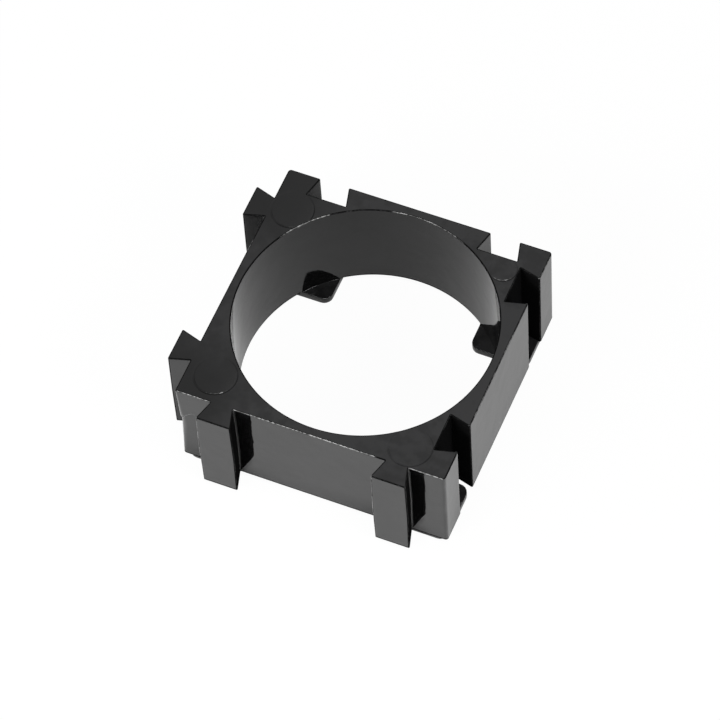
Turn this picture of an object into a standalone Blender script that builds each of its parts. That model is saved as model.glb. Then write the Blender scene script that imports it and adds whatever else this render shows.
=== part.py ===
"""Bracket for one cylindrical battery cell, moulded in one piece, that slides onto its neighbours.

A square block holds the cell in its bore. Two dovetail tongues stand on the front and two on the
left side, and grooves for a neighbour's tongues run down the right side and the back, so brackets
build up into a grid with the cells one block width apart. Under each corner a stop pad reaches
into the bore, where the end of the cell comes to rest on it. The pads also close the grooves at
the foot, so a neighbour's tongue that slides down stops level with the block.

The bracket stands on its pads at z = 0. +Z is the side the cell goes in from, -Y is the front,
and the origin is the middle of the whole footprint, tongues included.
"""

import math

import bmesh
import bpy
from mathutils import Matrix, Vector

MM = 0.001

# The cell, and the space to the next cell when brackets stand side by side.
CELL_DIAMETER = 32.0 * MM
CELL_GAP = 3.0 * MM

# The block that holds it.
BLOCK_HEIGHT = 14.0 * MM
BLOCK_CORNER_RADIUS = 0.4 * MM
EDGE_ROUND = 0.12 * MM

# The bore tapers by the draft of its core: wide at the mouth, snug round the cell at the foot.
FOOT_CLEARANCE = 0.2 * MM
MOUTH_CLEARANCE = 0.35 * MM
BORE_LEAD_IN = 0.12 * MM
BORE_STEPS = 144

# The dovetail tongues: each flank leans out by the flare from the root to the end.
TONGUE_DEPTH = 2.7 * MM
TONGUE_FLARE = 0.8 * MM
# The mould parts at half height, and each flank of a tongue leans back from there.
TONGUE_DRAFT = 0.1 * MM

# Room that a groove leaves round a neighbour's tongue.
ROOT_CLEARANCE = 0.38 * MM
END_CLEARANCE = 0.3 * MM
DEPTH_CLEARANCE = 0.05 * MM
# The thinnest walls, from a groove to the bore and from groove to groove across the back right
# corner. The grooves, and so the tongues, are as wide as these two leave room for.
BORE_WALL = 0.8 * MM
CORNER_WALL = 1.13 * MM

# The stop pads under the corners, and how far each reaches in under the end of the cell.
PAD_THICKNESS = 1.0 * MM
PAD_SETBACK = 0.35 * MM
PAD_UNDER_CELL = 2.14 * MM
PAD_CORNER_RADIUS = 1.2 * MM

# The round marks that the mould's ejector pins leave in the top face, one at each corner.
MARK_DIAMETER = 5.3 * MM
MARK_SINK = 0.05 * MM
MARK_STEPS = 48
# How far a mark's centre is from the block's faces: clear of a tongue's root, of a groove, and
# where both corner faces carry tongues or both carry grooves.
MARK_TO_TONGUE_FACE = 2.8 * MM
MARK_TO_GROOVE_FACE = 5.55 * MM
MARK_BETWEEN_TONGUES = 3.7 * MM
MARK_BETWEEN_GROOVES = 4.2 * MM

# The shallow recess in the front face where the mould was filled: it ends beside the left tongue,
# runs out through the left corner, rises to a round tip, and is shallower towards the foot.
GATE_TO_CORNER = 2.0 * MM
GATE_TO_TONGUE = 0.35 * MM
GATE_TOP = 9.6 * MM
GATE_TIP_RADIUS = 0.5 * MM
GATE_SINK = 0.22 * MM
GATE_FOOT_SINK = 0.04 * MM
# How far the edges of its head lean from upright, in degrees.
GATE_LEAN = 37.5

ARC_STEPS = 8
OVERRUN = 1.0 * MM
WELD = 0.001 * MM
# Faces that meet at less than the first angle are one flat face, at more than the second an edge.
FLAT = math.radians(1)
SHARP = math.radians(30)

# Blocks meet face to face, so a block is as wide as the spacing of the cells.
HALF_BLOCK = (CELL_DIAMETER + CELL_GAP) / 2
# The tops of the pads are level with the foot of the block, and so with a neighbour's tongues.
BLOCK_FOOT = PAD_THICKNESS
BLOCK_TOP = BLOCK_FOOT + BLOCK_HEIGHT
BORE_FOOT_RADIUS = CELL_DIAMETER / 2 + FOOT_CLEARANCE
BORE_MOUTH_RADIUS = CELL_DIAMETER / 2 + MOUTH_CLEARANCE

# A groove's floor, from the bore's axis, and how far along its side it starts and ends: at one
# wall from the bore's mouth, and at the other wall from the groove round the corner.
GROOVE_FLOOR = HALF_BLOCK - TONGUE_DEPTH - DEPTH_CLEARANCE
FLOOR_START = math.sqrt((BORE_MOUTH_RADIUS + BORE_WALL) ** 2 - GROOVE_FLOOR ** 2)
FLOOR_END = GROOVE_FLOOR - CORNER_WALL / math.sqrt(2)
TONGUE_OFFSET = (FLOOR_START + FLOOR_END) / 2
TONGUE_HALF_END = (FLOOR_END - FLOOR_START) / 2 - END_CLEARANCE
TONGUE_HALF_ROOT = TONGUE_HALF_END - TONGUE_FLARE

# A pad's inner edges, from the bore's axis: the tip of its round corner is that far under the cell.
PAD_TIP = CELL_DIAMETER / 2 - PAD_UNDER_CELL
PAD_INNER_EDGE = (PAD_TIP + PAD_CORNER_RADIUS) / math.sqrt(2) - PAD_CORNER_RADIUS
PAD_OUTER_EDGE = HALF_BLOCK - PAD_SETBACK

# What stands on the front, right, back and left side, or is cut into it.
SIDES = ("tongue", "groove", "groove", "tongue")


def clear_scene():
    for thing in list(bpy.data.objects):
        bpy.data.objects.remove(thing, do_unlink=True)


def new_collection(name):
    collection = bpy.data.collections.new(name)
    bpy.context.scene.collection.children.link(collection)
    return collection


def arc(centre_x, centre_y, radius, start, end):
    """Points along an arc, both ends included, with angles in degrees."""
    points = []
    for step in range(ARC_STEPS + 1):
        angle = math.radians(start + (end - start) * step / ARC_STEPS)
        points.append((centre_x + radius * math.cos(angle), centre_y + radius * math.sin(angle)))
    return points


def rounded_square(half_width, radius):
    """Outline of a square about the origin, its corners rounded."""
    inner = half_width - radius
    corners = ((inner, inner), (-inner, inner), (-inner, -inner), (inner, -inner))
    outline = []
    for quarter, (x, y) in enumerate(corners):
        outline += arc(x, y, radius, 90 * quarter, 90 * quarter + 90)
    return outline


def key_outline(kind, offset, draft):
    """A tongue or a groove of the front side, at its offset, as four points from left to right."""
    if kind == "tongue":
        root = TONGUE_HALF_ROOT + draft
        end = TONGUE_HALF_END + draft
        reach = -HALF_BLOCK - TONGUE_DEPTH
    else:
        root = TONGUE_HALF_ROOT + ROOT_CLEARANCE
        end = TONGUE_HALF_END + END_CLEARANCE
        reach = -GROOVE_FLOOR
    return [(offset - root, -HALF_BLOCK), (offset - end, reach),
            (offset + end, reach), (offset + root, -HALF_BLOCK)]


def block_outline(draft):
    """The block in plan with its tongues and grooves, whose flanks stand out by the draft."""
    inner = HALF_BLOCK - BLOCK_CORNER_RADIUS
    outline = []
    for turn, kind in enumerate(SIDES):
        side = key_outline(kind, -TONGUE_OFFSET, draft) + key_outline(kind, TONGUE_OFFSET, draft)
        side += arc(inner, -inner, BLOCK_CORNER_RADIUS, -90, 0)
        quarter = Matrix.Rotation(math.radians(90 * turn), 2)
        outline += [tuple(quarter @ Vector(point)) for point in side]
    return outline


def loft(name, sections, collection):
    """A closed body through plan sections with as many points each, given as (height, outline).

    Its edges are rounded, except round the foot, which the pads carry on from.
    """
    bm = bmesh.new()
    rings = [[bm.verts.new((x, y, z)) for x, y in outline] for z, outline in sections]
    for lower, upper in zip(rings, rings[1:]):
        for here in range(len(lower)):
            before = here - 1
            bm.faces.new((lower[before], lower[here], upper[here], upper[before]))
    bm.faces.new(reversed(rings[0]))
    bm.faces.new(rings[-1])
    foot = sections[0][0]
    sharp = [edge for edge in bm.edges if edge.calc_face_angle() > SHARP]
    round_edges(bm, [edge for edge in sharp if max(vert.co.z for vert in edge.verts) > foot + WELD])
    return add_mesh(name, bm, collection)


def round_edges(bm, edges):
    """The small radius that the mould leaves on an edge."""
    bmesh.ops.bevel(bm, geom=edges, offset=EDGE_ROUND, segments=2, profile=0.5, affect="EDGES")


def add_mesh(name, bm, collection):
    mesh = bpy.data.meshes.new(name)
    bm.to_mesh(mesh)
    bm.free()
    solid = bpy.data.objects.new(name, mesh)
    collection.objects.link(solid)
    return solid


def prism(name, outline, foot, top, collection, rounded_foot=False):
    """A flat closed outline, filled and drawn up from one height to another."""
    curve = bpy.data.curves.new(name, "CURVE")
    curve.dimensions = "2D"
    curve.fill_mode = "BOTH"
    curve.extrude = (top - foot) / 2
    spline = curve.splines.new("POLY")
    spline.points.add(len(outline) - 1)
    for point, (x, y) in zip(spline.points, outline):
        point.co = (x, y, 0, 1)
    spline.use_cyclic_u = True
    guide = bpy.data.objects.new(name + "_outline", curve)
    bpy.context.scene.collection.objects.link(guide)
    bpy.context.view_layer.update()
    evaluated = guide.evaluated_get(bpy.context.evaluated_depsgraph_get())
    mesh = bpy.data.meshes.new_from_object(evaluated)
    bpy.data.objects.remove(guide, do_unlink=True)
    bm = bmesh.new()
    bm.from_mesh(mesh)
    bpy.data.meshes.remove(mesh)
    bmesh.ops.remove_doubles(bm, verts=bm.verts, dist=WELD)
    bmesh.ops.dissolve_limit(bm, angle_limit=FLAT, verts=bm.verts, edges=bm.edges)
    bmesh.ops.recalc_face_normals(bm, faces=bm.faces)
    foot_edges = [edge for edge in bm.edges if max(vert.co.z for vert in edge.verts) < 0]
    for vert in bm.verts:
        vert.co.z = foot if vert.co.z < 0 else top
    if rounded_foot:
        round_edges(bm, foot_edges)
    return add_mesh(name, bm, collection)


def combine(target, tool, operation):
    """Adds or cuts away one shape, which then shows as a wire guide only."""
    step = target.modifiers.new(tool.name, "BOOLEAN")
    step.operation = operation
    step.solver = "EXACT"
    step.object = tool
    tool.hide_render = True
    tool.display_type = "WIRE"


def make_bore(collection):
    """The cell's bore, turned: a taper with a small lead-in at the mouth."""
    profile = [(0, BLOCK_TOP + OVERRUN),
               (BORE_MOUTH_RADIUS + BORE_LEAD_IN + OVERRUN, BLOCK_TOP + OVERRUN),
               (BORE_MOUTH_RADIUS, BLOCK_TOP - BORE_LEAD_IN),
               (BORE_FOOT_RADIUS, BLOCK_FOOT),
               (BORE_FOOT_RADIUS, BLOCK_FOOT - OVERRUN),
               (0, BLOCK_FOOT - OVERRUN)]
    bm = bmesh.new()
    verts = [bm.verts.new((x, 0, z)) for x, z in profile]
    for upper, lower in zip(verts, verts[1:]):
        bm.edges.new((upper, lower))
    bore = add_mesh("bore", bm, collection)
    turn = bore.modifiers.new("turn", "SCREW")
    turn.steps = BORE_STEPS
    turn.render_steps = BORE_STEPS
    turn.use_merge_vertices = True
    turn.merge_threshold = WELD
    return bore


def make_mark(name, centre, collection):
    """A shallow round sink in the top face, left by an ejector pin."""
    x, y = centre
    middle = Matrix.Translation((x, y, BLOCK_TOP + (OVERRUN - MARK_SINK) / 2))
    bm = bmesh.new()
    bmesh.ops.create_cone(bm, cap_ends=True, segments=MARK_STEPS, radius1=MARK_DIAMETER / 2,
                          radius2=MARK_DIAMETER / 2, depth=MARK_SINK + OVERRUN, matrix=middle)
    return add_mesh(name, bm, collection)


def make_gate_recess(collection):
    """A slot with a pointed head, sunk into the front face and open at the foot and at the corner.

    It tilts about its foot, so that it is as deep as stated at both ends.
    """
    tip_height = BLOCK_FOOT + GATE_TOP - GATE_TIP_RADIUS
    tip = arc(GATE_TO_CORNER - HALF_BLOCK, tip_height, GATE_TIP_RADIUS, GATE_LEAN, 180 - GATE_LEAN)
    right = -TONGUE_OFFSET - TONGUE_HALF_ROOT - TONGUE_DRAFT - GATE_TO_TONGUE
    left = -HALF_BLOCK - OVERRUN
    fall = 1 / math.tan(math.radians(GATE_LEAN))
    right_shoulder = tip[0][1] - (right - tip[0][0]) * fall
    left_shoulder = tip[-1][1] - (tip[-1][0] - left) * fall
    foot = BLOCK_FOOT - OVERRUN
    outline = tip + [(left, left_shoulder), (left, foot), (right, foot), (right, right_shoulder)]
    # It stands proud of the face by its own depth, clear of the tongue's leaning flank.
    recess = prism("gate_recess", outline, HALF_BLOCK - GATE_FOOT_SINK, HALF_BLOCK + GATE_SINK, collection)
    pivot = Matrix.Translation((0, GATE_FOOT_SINK - HALF_BLOCK, BLOCK_FOOT))
    tilt = Matrix.Rotation(-math.atan2(GATE_SINK - GATE_FOOT_SINK, GATE_TOP), 4, "X")
    recess.data.transform(pivot @ tilt @ pivot.inverted() @ Matrix.Rotation(math.radians(90), 4, "X"))
    return recess


def make_pad(name, side_x, side_y, collection):
    """A stop pad under one corner, standing under the block and reaching into the bore."""
    middle = (PAD_OUTER_EDGE + PAD_INNER_EDGE) / 2
    square = rounded_square((PAD_OUTER_EDGE - PAD_INNER_EDGE) / 2, PAD_CORNER_RADIUS)
    outline = [(x + side_x * middle, y + side_y * middle) for x, y in square]
    return prism(name, outline, 0, PAD_THICKNESS, collection, rounded_foot=True)


def black_plastic():
    """Plain black moulded plastic with the shine of a polished mould."""
    material = bpy.data.materials.new("black_plastic")
    material.use_nodes = True
    shader = material.node_tree.nodes["Principled BSDF"]
    shader.inputs["Base Color"].default_value = (0.012, 0.012, 0.013, 1)
    shader.inputs["Roughness"].default_value = 0.22
    shader.inputs["Metallic"].default_value = 0
    material.diffuse_color = (0.03, 0.03, 0.03, 1)
    return material


def mark_centres():
    near_tongue = HALF_BLOCK - MARK_TO_TONGUE_FACE
    near_groove = HALF_BLOCK - MARK_TO_GROOVE_FACE
    front_left = HALF_BLOCK - MARK_BETWEEN_TONGUES
    back_right = HALF_BLOCK - MARK_BETWEEN_GROOVES
    return {"mark_front_left": (-front_left, -front_left),
            "mark_front_right": (near_groove, -near_tongue),
            "mark_back_left": (-near_tongue, near_groove),
            "mark_back_right": (back_right, back_right)}


def make_bracket():
    """The whole moulding: block, tongues, grooves, bore, marks and pads, in one body."""
    bracket_parts = new_collection("cell_holder_bracket")
    guides = new_collection("shapes_joined_and_cut")
    plain = block_outline(0)
    parting_height = BLOCK_FOOT + BLOCK_HEIGHT / 2
    sections = ((BLOCK_FOOT, plain), (parting_height, block_outline(TONGUE_DRAFT)), (BLOCK_TOP, plain))
    bracket = loft("cell_bracket", sections, bracket_parts)
    combine(bracket, make_bore(guides), "DIFFERENCE")
    combine(bracket, make_gate_recess(guides), "DIFFERENCE")
    for name, centre in mark_centres().items():
        combine(bracket, make_mark(name, centre, guides), "DIFFERENCE")
    for depth_name, side_y in (("front", -1), ("back", 1)):
        for width_name, side_x in (("left", -1), ("right", 1)):
            pad = make_pad(f"pad_{depth_name}_{width_name}", side_x, side_y, guides)
            combine(bracket, pad, "UNION")

    bracket.data.materials.append(black_plastic())
    bracket.data.shade_smooth()
    bracket.data.set_sharp_from_angle(angle=SHARP)

    # Tongues stand out on the left and the front only, so the bore's axis is off the middle of
    # the footprint by half a tongue each way.
    to_middle = Vector((TONGUE_DEPTH / 2, TONGUE_DEPTH / 2, 0))
    for solid in list(bracket_parts.objects) + list(guides.objects):
        solid.location = to_middle


clear_scene()
make_bracket()
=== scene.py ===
import math

import bpy
import numpy as np
from mathutils import Matrix, Vector, geometry


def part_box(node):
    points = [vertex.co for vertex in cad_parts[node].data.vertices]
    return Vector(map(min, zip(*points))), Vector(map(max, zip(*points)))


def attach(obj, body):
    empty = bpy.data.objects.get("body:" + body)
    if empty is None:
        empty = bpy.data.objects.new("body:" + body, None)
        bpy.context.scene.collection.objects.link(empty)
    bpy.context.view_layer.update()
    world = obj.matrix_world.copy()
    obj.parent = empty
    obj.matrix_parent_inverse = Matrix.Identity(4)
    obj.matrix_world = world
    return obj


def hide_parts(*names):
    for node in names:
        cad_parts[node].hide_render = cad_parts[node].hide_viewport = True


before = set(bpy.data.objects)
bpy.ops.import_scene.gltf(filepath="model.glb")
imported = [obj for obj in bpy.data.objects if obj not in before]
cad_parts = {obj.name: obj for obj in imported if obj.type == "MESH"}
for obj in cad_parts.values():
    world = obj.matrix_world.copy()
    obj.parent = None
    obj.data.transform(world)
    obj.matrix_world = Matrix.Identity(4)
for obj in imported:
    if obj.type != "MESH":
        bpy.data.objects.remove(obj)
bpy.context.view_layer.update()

# The outer wall. The bracket is one injection moulding in black plastic: a square block with two
# dovetail tongues on its front and left and two grooves on its right and back. Its mould parts at half
# height, so the tongues' flanks lean back from there, and every edge is a little round.
MM = 0.001
node_low, node_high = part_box("cell_bracket")
TONGUE_DEPTH = 2.7 * MM
TONGUE_OFFSET = 11.35 * MM
TONGUE_HALF_ROOT = 1.5 * MM
TONGUE_HALF_END = 2.3 * MM
TONGUE_DRAFT = 0.1 * MM
GROOVE_DEPTH = 2.75 * MM
GROOVE_HALF_MOUTH = 1.88 * MM
GROOVE_HALF_FLOOR = 2.6 * MM
PAD_THICKNESS = 1.0 * MM
EDGE_RADIUS = 0.12 * MM
ACUTE_CORNER_RADIUS = 0.16 * MM
TONGUE_ROOT_RADIUS = 0.045 * MM
GROOVE_FLOOR_RADIUS = 0.03 * MM
BLOCK_CORNER_RADIUS = 0.4 * MM
# The front left corner is sharp at the top and rounder towards the parting line.
LEFT_CORNER_RADII = np.array((0.4, 0.95, 0.9, 0.55, 0.2)) * MM
LEFT_CORNER_HEIGHTS = np.array((1.0, 7.2, 8.2, 11.0, 15.0)) * MM
# A narrow strip of the flat lies beside each round, so that the flat shades evenly.
SUPPORT = 0.03 * MM
ARC_STEPS = 5
ROUND_STEPS = 4
RUN_SPACING = 0.3 * MM
ROW_SPACING = 0.7 * MM
# Sides, and corners along a side, are counted anticlockwise from the front left corner. A side has four
# corners for each of its two keys, which are tongues or grooves, and then the block's own corner.
SIDES = ("tongue", "groove", "groove", "tongue")
FRONT_SIDE, RIGHT_SIDE, BACK_SIDE, LEFT_SIDE = 0, 1, 2, 3
CORNERS_A_SIDE = 9
BLOCK_CORNER = CORNERS_A_SIDE - 1

half_block = (node_high.x - node_low.x - TONGUE_DEPTH) / 2
bore_axis = np.array((node_high.x - half_block, node_high.y - half_block))
foot = PAD_THICKNESS
top = node_high.z
middle = (foot + top) / 2


def side_corners(kind, draft):
    """Corners of the front side, left to right, as (rows, corners, 2): four for each key, whose flanks
    stand out by that row's draft, and the block's own right corner."""
    blank = np.zeros_like(draft)
    if kind == "tongue":
        root, end, reach = TONGUE_HALF_ROOT + draft, TONGUE_HALF_END + draft, -half_block - TONGUE_DEPTH
    else:
        root, end, reach = GROOVE_HALF_MOUTH + blank, GROOVE_HALF_FLOOR + blank, GROOVE_DEPTH - half_block
    across = []
    for offset in (-TONGUE_OFFSET, TONGUE_OFFSET):
        across += [offset - root, offset - end, offset + end, offset + root]
    across.append(half_block + blank)
    along = [blank - half_block, blank + reach, blank + reach, blank - half_block] * 2 + [blank - half_block]
    return np.stack((np.stack(across, 1), np.stack(along, 1)), 2)


def block_corners(draft):
    """The four sides' corners, each side turned a quarter further round the bore's axis."""
    sides = []
    for turn, kind in enumerate(SIDES):
        cosine, sine = round(math.cos(turn * math.pi / 2)), round(math.sin(turn * math.pi / 2))
        sides.append(side_corners(kind, draft) @ np.array(((cosine, sine), (-sine, cosine))))
    return np.concatenate(sides, 1)


def rounded_outline(corners, radii, run_steps):
    """A closed outline with its corners rounded, row by row. Each corner gives up a length of the radius
    times the tangent of half its turn on both sides, and an arc of that radius joins the two ends;
    straight runs are cut into equal steps. Returns points, outward normals, how round each column is,
    the number of the corner that it comes from, and whether it lies on the run after that."""
    ahead = np.roll(corners, -1, axis=1) - corners
    leaving = ahead / np.linalg.norm(ahead, axis=2, keepdims=True)
    arriving = np.roll(leaving, 1, axis=1)
    turn = np.arctan2(arriving[..., 0] * leaving[..., 1] - arriving[..., 1] * leaving[..., 0],
                      (arriving * leaving).sum(2))
    given_up = (radii * np.tan(np.abs(turn) / 2))[..., None]
    arc_start, arc_end = corners - arriving * given_up, corners + leaving * given_up
    inward = np.stack((-arriving[..., 1], arriving[..., 0]), 2) * np.sign(turn)[..., None]

    counts = ARC_STEPS + run_steps
    corner = np.repeat(np.arange(len(counts)), counts)
    step = np.arange(len(corner)) - np.repeat(np.cumsum(counts) - counts, counts)
    on_run = step > ARC_STEPS
    share = np.where(on_run, (step - ARC_STEPS) / run_steps[corner], step / ARC_STEPS)

    angle = np.where(on_run, 1, share) * np.abs(turn[:, corner])
    tangent = np.cos(angle)[..., None] * arriving[:, corner] + np.sin(angle)[..., None] * inward[:, corner]
    bend = np.sin(angle)[..., None] * arriving[:, corner] + (1 - np.cos(angle))[..., None] * inward[:, corner]
    on_arc = arc_start[:, corner] + radii[:, corner, None] * bend
    run_end = np.roll(arc_start, -1, axis=1)[:, corner]
    straight = arc_end[:, corner] + (run_end - arc_end[:, corner]) * share[:, None]
    points = np.where(on_run[:, None], straight, on_arc)
    normals = np.stack((tangent[..., 1], -tangent[..., 0]), 2)
    roundness = np.where(on_run | (turn[0, corner] < 0), 0, np.sin(np.pi * share))
    return points, normals, roundness, corner, on_run


def rounded_square_distance(points, centre_x, centre_y, half_width, radius):
    """How far each point lies outside a square with round corners; inside it is negative."""
    away = np.abs(points - (centre_x, centre_y)) - (half_width - radius)
    return np.linalg.norm(np.maximum(away, 0), axis=-1) + np.minimum(away.max(-1), 0) - radius


# The foot of the walls. A stop pad lies under each corner of the block. Where a wall comes down on a pad
# the plastic fills a small fillet between the two, and elsewhere its foot is a free round edge.
PAD_INNER_EDGE = 9.449 * MM
PAD_SET_IN = 0.35 * MM
PAD_CORNER_RADIUS = 1.2 * MM
PAD_PLACES = ((-1, -1), (1, -1), (-1, 1), (1, 1))
GROOVE_FILLET = 0.02 * MM
BORE_FILLET = 0.05 * MM
PAD_BLEND = 0.25 * MM
THINNEST_ROUND = 0.002 * MM
pad_outer_edge = half_block - PAD_SET_IN
pad_middle = (pad_outer_edge + PAD_INNER_EDGE) / 2
pad_half_width = (pad_outer_edge - PAD_INNER_EDGE) / 2


def foot_radius(points, fillet):
    """The radius at the foot of a wall: the edge radius where it ends free, and over a pad the fillet
    into it, with a minus sign. The change follows the distance to the nearest pad's outline."""
    distance = np.min([rounded_square_distance(points, x * pad_middle, y * pad_middle, pad_half_width,
                                               PAD_CORNER_RADIUS) for x, y in PAD_PLACES], axis=0)
    blend = np.clip(distance / PAD_BLEND, -1, 1)
    radius = np.where(blend > 0, blend * EDGE_RADIUS, blend * fillet)
    return np.where(np.abs(radius) < THINNEST_ROUND, THINNEST_ROUND, radius)


def wall_rows(heights):
    """The rows of a wall from foot to top, each with its height on the plain wall, its angles from the
    wall on the foot's and on the top's round, and whether it lies on the flat beyond the round."""
    turned = np.linspace(1, 0, ROUND_STEPS + 1)
    none_turned = np.zeros(ROUND_STEPS + 2)
    plain = np.zeros(len(heights))
    at_foot = np.concatenate(([1], turned, plain, none_turned))
    at_top = np.concatenate((none_turned, plain, turned[::-1], [1]))
    on_flat = np.concatenate(([1], turned * 0, plain, turned * 0, [1]))
    height = np.concatenate((np.full(ROUND_STEPS + 2, foot), heights, np.full(ROUND_STEPS + 2, top)))
    return height, at_foot * np.pi / 2, at_top * np.pi / 2, on_flat


def round_ends(height, at_foot, at_top, on_flat, foot_round, top_round):
    """Height and inset of each point of a wall. On a round of radius r, at an angle from the wall, the
    inset is r(1 - cos) and the end is r(1 - sin) away; the outermost rows lie on the flat beyond it."""
    foot_part = (height <= foot)[:, None]
    top_part = (height >= top)[:, None]
    radius = np.where(foot_part, foot_round, np.where(top_part, top_round, 0))
    angle = (at_foot + at_top)[:, None]
    inset = radius * (1 - np.cos(angle)) + SUPPORT * on_flat[:, None]
    lift = np.abs(radius) * (1 - np.sin(angle))
    level = height[:, None] + np.where(foot_part, lift, np.where(top_part, -lift, 0))
    return level, inset


# The gate recess, beside the front left corner, is where the plastic was let in. It sinks the front face
# below an arched head, which falls by the slope to both sides, and runs out through the corner. It is
# deepest under the head and fades out towards the foot.
GATE_MIDDLE = 2.0 * MM
GATE_HALF_WIDTH = 2.3 * MM
GATE_TOP = 10.6 * MM
GATE_SLOPE = 1.3
GATE_ROUND = 0.5 * MM
GATE_SINK = 0.22 * MM
GATE_FOOT_SINK = 0.02 * MM
GATE_LIP = 0.1 * MM
GATE_SPACING = 0.1 * MM
# The rows of the wall run from the round at its foot, past the end of a matt band, closer over the
# gate's head, and on to the round at its top. The columns follow the outline.
MATT_BAND = 0.12 * MM
near_foot = foot + EDGE_RADIUS + SUPPORT
band_end = near_foot + MATT_BAND
near_top = top - EDGE_RADIUS - SUPPORT
gate_head = GATE_TOP - GATE_SLOPE * GATE_MIDDLE - 2 * GATE_LIP
below_gate = np.linspace(band_end, gate_head, round((gate_head - near_foot) / ROW_SPACING), endpoint=False)
across_head = np.arange(gate_head, GATE_TOP + 2 * GATE_LIP, GATE_SPACING)
above_gate = np.linspace(GATE_TOP + 3 * GATE_LIP, near_top, round((near_top - GATE_TOP) / ROW_SPACING))
rows = wall_rows(np.concatenate(([near_foot], below_gate, across_head, above_gate)))
row_height, row_at_foot, row_at_top = rows[:3]

draft = TONGUE_DRAFT * (1 - np.abs(row_height - middle) / (top - middle))
corners = block_corners(draft)
tongue_radii = [TONGUE_ROOT_RADIUS, ACUTE_CORNER_RADIUS, ACUTE_CORNER_RADIUS, TONGUE_ROOT_RADIUS] * 2
groove_radii = [ACUTE_CORNER_RADIUS, GROOVE_FLOOR_RADIUS, GROOVE_FLOOR_RADIUS, ACUTE_CORNER_RADIUS] * 2
side_radii = [(tongue_radii if kind == "tongue" else groove_radii) + [BLOCK_CORNER_RADIUS] for kind in SIDES]
radii = np.tile(np.concatenate(side_radii), (len(corners), 1))
radii[:, -1] = np.interp(row_height, LEFT_CORNER_HEIGHTS, LEFT_CORNER_RADII)
run_lengths = np.linalg.norm(np.roll(corners[0], -1, axis=0) - corners[0], axis=1)
run_steps = np.maximum(np.ceil(run_lengths / RUN_SPACING), 2).astype(int)
run_steps[-1] = math.ceil(run_lengths[-1] / GATE_SPACING)
outline, outward, corner_round, corner_number, on_run = rounded_outline(corners, radii, run_steps)
wall_z, wall_inset = round_ends(*rows, foot_radius(outline[0], GROOVE_FILLET), EDGE_RADIUS)

# The arch falls from the gate's top by the slope times a hyperbola, which is round at the head and
# straight to both sides. The sink sets in over the lip, eased as three squares less two cubes.
gate_x = outline[..., 0] + half_block - GATE_MIDDLE
across_gate = np.abs(gate_x) < GATE_HALF_WIDTH
arch = GATE_TOP - GATE_SLOPE * (np.hypot(gate_x, GATE_ROUND) - GATE_ROUND)
in_gate = np.clip(0.5 - (wall_z - arch) / (GATE_SLOPE * GATE_LIP), 0, 1)
in_gate = in_gate * in_gate * (3 - 2 * in_gate) * across_gate
in_gate = in_gate * np.clip(-outward[..., 1], 0, 1) * (outline[..., 1] > -half_block - SUPPORT)
up_to_head = np.clip((wall_z - foot) / (GATE_TOP - foot), 0, 1)
gate_depth = GATE_FOOT_SINK + (GATE_SINK - GATE_FOOT_SINK) * up_to_head
wall_inset = wall_inset + gate_depth * in_gate
wall_points = np.concatenate((outline - outward * wall_inset[..., None], wall_z[..., None]), 2)

# The edges are painted light where the photograph shows light lines. The grey is partly rubbing and partly
# painted highlight, standing in for the glints that the small rounds catch. It runs along the top at the
# front and at the right, on a short stretch of it at the left, down the left edges of the front tongues, and
# along the head of the gate recess. Elsewhere it is faint. A share of 1 is the strongest rub and highlight.
FRONT_RUB_AND_HIGHLIGHT_PLACES = np.array((-17.4, -17.2, -13.0, -12.8, -9.9, -9.7, 8.4, 8.7, 12.7, 12.9, 17.2, 17.4)) * MM
FRONT_RUB_AND_HIGHLIGHT_SHARES = np.array((0.1, 0.8, 0.8, 0.1, 0.1, 1.0, 1.0, 0.1, 0.1, 0.9, 0.9, 0.1))
LEFT_RUB_AND_HIGHLIGHT_PLACES = np.array((4.2, 4.5, 6.0, 6.3)) * MM
LEFT_RUB_AND_HIGHLIGHT_SHARES = np.array((0.2, 0.9, 0.9, 0.2))
RIGHT_RUB_AND_HIGHLIGHT_SHARE = 0.5
TONGUE_RUB_AND_HIGHLIGHT_SHARE = 0.9
GATE_RUB_AND_HIGHLIGHT_SHARE = 0.85
FOOT_RUB_AND_HIGHLIGHT_SHARE = 0.1
PLAIN_RUB_AND_HIGHLIGHT_SHARE = 0.2
at_front = outline[..., 1] < -half_block + SUPPORT
on_front = at_front & (outline[..., 1] > -half_block - SUPPORT)
at_left = np.abs(outline[..., 0] + half_block) < SUPPORT
on_block_corner = corner_number % CORNERS_A_SIDE == BLOCK_CORNER
at_right = (outline[..., 0] > half_block - 2 * ACUTE_CORNER_RADIUS) & ~on_block_corner
top_rub_and_highlight_share = np.where(at_right, RIGHT_RUB_AND_HIGHLIGHT_SHARE, PLAIN_RUB_AND_HIGHLIGHT_SHARE)
top_rub_and_highlight_share = np.where(on_front, np.interp(outline[..., 0], FRONT_RUB_AND_HIGHLIGHT_PLACES, FRONT_RUB_AND_HIGHLIGHT_SHARES), top_rub_and_highlight_share)
top_rub_and_highlight_share = np.where(at_left, np.interp(outline[..., 1], LEFT_RUB_AND_HIGHLIGHT_PLACES, LEFT_RUB_AND_HIGHLIGHT_SHARES), top_rub_and_highlight_share)
from_left_edge = np.abs(outline[..., 0] + TONGUE_HALF_END) - TONGUE_OFFSET
on_left_edge = at_front & ~on_front & (np.abs(from_left_edge) < 2 * ACUTE_CORNER_RADIUS)
upright_rub_and_highlight_share = np.where(on_left_edge, TONGUE_RUB_AND_HIGHLIGHT_SHARE, PLAIN_RUB_AND_HIGHLIGHT_SHARE)
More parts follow.
